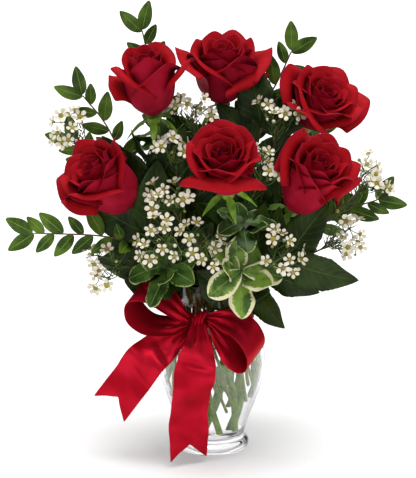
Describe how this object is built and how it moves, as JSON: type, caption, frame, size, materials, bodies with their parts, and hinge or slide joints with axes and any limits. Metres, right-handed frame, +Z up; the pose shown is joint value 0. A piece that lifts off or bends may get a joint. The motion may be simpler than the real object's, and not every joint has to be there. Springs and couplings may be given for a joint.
{
  "type": "roses in a vase",
  "caption": "Red roses with waxflower and mixed greenery in a clear glass vase of water, tied at the neck with a red satin ribbon bow.",
  "frame": {"origin": "centre of the vase's flat underside, on the surface that it stands on", "axes": "+Z up along the vase's axis, -Y towards the front, where the bow is, +X to the right seen from the front"},
  "size_m": [0.339, 0.2291, 0.3944],
  "materials": {
    "clear_glass": "clear polished glass",
    "water": "still clear water",
    "satin_ribbon": "red satin ribbon",
    "rose_petals": "velvety deep red petals",
    "rose_green": "smooth green stem",
    "salal_leaf": "dark leathery leaf",
    "variegated_leaf": "green leaf with cream margins",
    "huckleberry_leaf": "glossy green leaf",
    "waxflower": "waxy white blossom"
  },
  "bodies": {
    "root": {"glass_vase": "clear_glass", "water": "water", "ribbon_neck_band": "satin_ribbon", "bow_knot": "satin_ribbon", "bow_loop_left": "satin_ribbon", "bow_loop_right": "satin_ribbon", "ribbon_tail_left": "satin_ribbon", "ribbon_tail_front": "satin_ribbon", "rose_1_bloom": "rose_petals", "rose_1_calyx": "rose_green", "rose_1_stem": "rose_green", "rose_2_bloom": "rose_petals", "rose_2_calyx": "rose_green", "rose_2_stem": "rose_green", "rose_3_bloom": "rose_petals", "rose_3_calyx": "rose_green", "rose_3_stem": "rose_green", "rose_4_bloom": "rose_petals", "rose_4_calyx": "rose_green", "rose_4_stem": "rose_green", "rose_5_bloom": "rose_petals", "rose_5_calyx": "rose_green", "rose_5_stem": "rose_green", "rose_6_bloom": "rose_petals", "rose_6_calyx": "rose_green", "rose_6_stem": "rose_green", "salal_1": "salal_leaf", "salal_2": "salal_leaf", "salal_3": "salal_leaf", "salal_4": "salal_leaf", "salal_5": "salal_leaf", "salal_6": "salal_leaf", "pittosporum_1": "variegated_leaf", "pittosporum_2": "variegated_leaf", "pittosporum_3": "variegated_leaf", "pittosporum_4": "variegated_leaf", "pittosporum_5": "variegated_leaf", "huckleberry_1": "huckleberry_leaf", "huckleberry_2": "huckleberry_leaf", "huckleberry_3": "huckleberry_leaf", "huckleberry_4": "huckleberry_leaf", "huckleberry_5": "huckleberry_leaf", "huckleberry_6": "huckleberry_leaf", "huckleberry_7": "huckleberry_leaf", "waxflower_1": "waxflower", "waxflower_2": "waxflower", "waxflower_3": "waxflower", "waxflower_4": "waxflower", "waxflower_5": "waxflower", "waxflower_6": "waxflower", "waxflower_7": "waxflower", "waxflower_8": "waxflower", "waxflower_9": "waxflower", "waxflower_10": "waxflower", "waxflower_11": "waxflower", "waxflower_12": "waxflower", "waxflower_13": "waxflower", "waxflower_14": "waxflower"}
  },
  "joints": []
}
